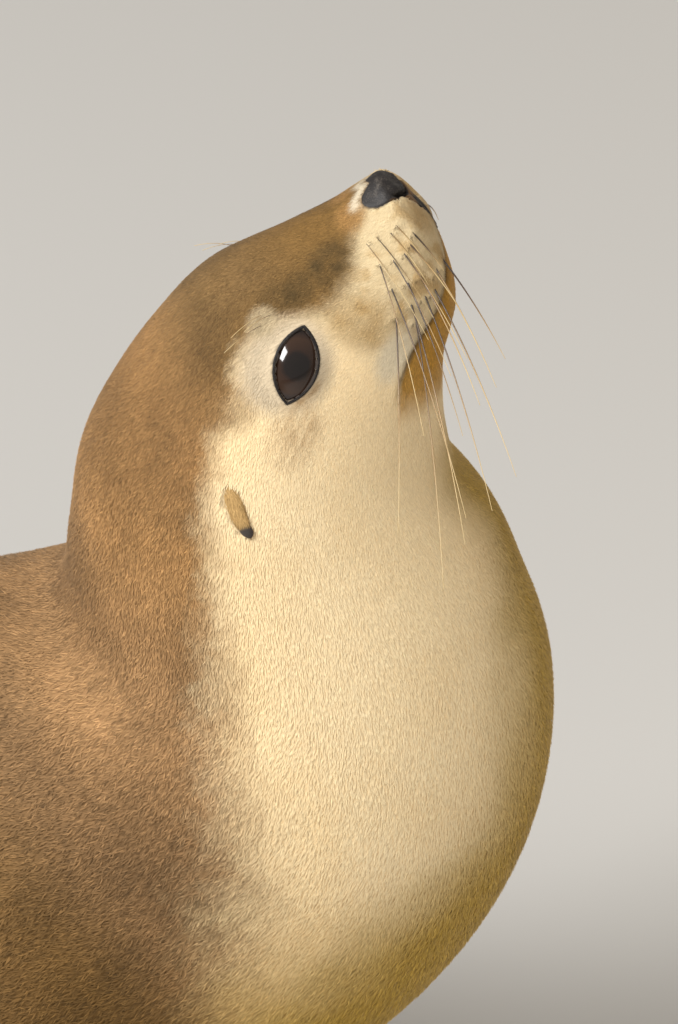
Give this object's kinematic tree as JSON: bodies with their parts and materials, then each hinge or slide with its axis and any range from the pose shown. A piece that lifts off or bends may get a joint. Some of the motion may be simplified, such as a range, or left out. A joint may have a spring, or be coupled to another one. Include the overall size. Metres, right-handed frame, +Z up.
{
  "type": "sea lion figure",
  "caption": "Life-size sea lion sitting with its neck upright and its nose lifted, fore flippers planted flat and hind flippers turned forwards.",
  "frame": {"origin": "bottom centre of the bounding box, on the floor", "axes": "+Z up; the trunk faces -Y and +X is the animal's left; the head is turned 22 degrees to its left and lifted 58 degrees"},
  "size_m": [0.8442, 1.3008, 0.8024],
  "materials": {
    "coat": "short dense fur, brown over the back and cream on the throat",
    "nose_pad": "bare, finely grained, slightly damp",
    "eye": "wet and glossy",
    "flipper": "bare leathery skin",
    "claw": "smooth horn"
  },
  "bodies": {
    "root": {"nose": "nose_pad", "muzzle": "coat", "head": "coat", "lower_jaw": "coat", "eye_left": "eye", "ear_left": "coat", "eye_right": "eye", "ear_right": "coat", "neck": "coat", "chest": "coat", "belly": "coat", "rump": "coat", "tail": "coat", "fore_flipper_left": "flipper", "hind_flipper_left": "flipper", "claw_left_2": "claw", "claw_left_3": "claw", "claw_left_4": "claw", "fore_flipper_right": "flipper", "hind_flipper_right": "flipper", "claw_right_2": "claw", "claw_right_3": "claw", "claw_right_4": "claw"}
  },
  "joints": []
}
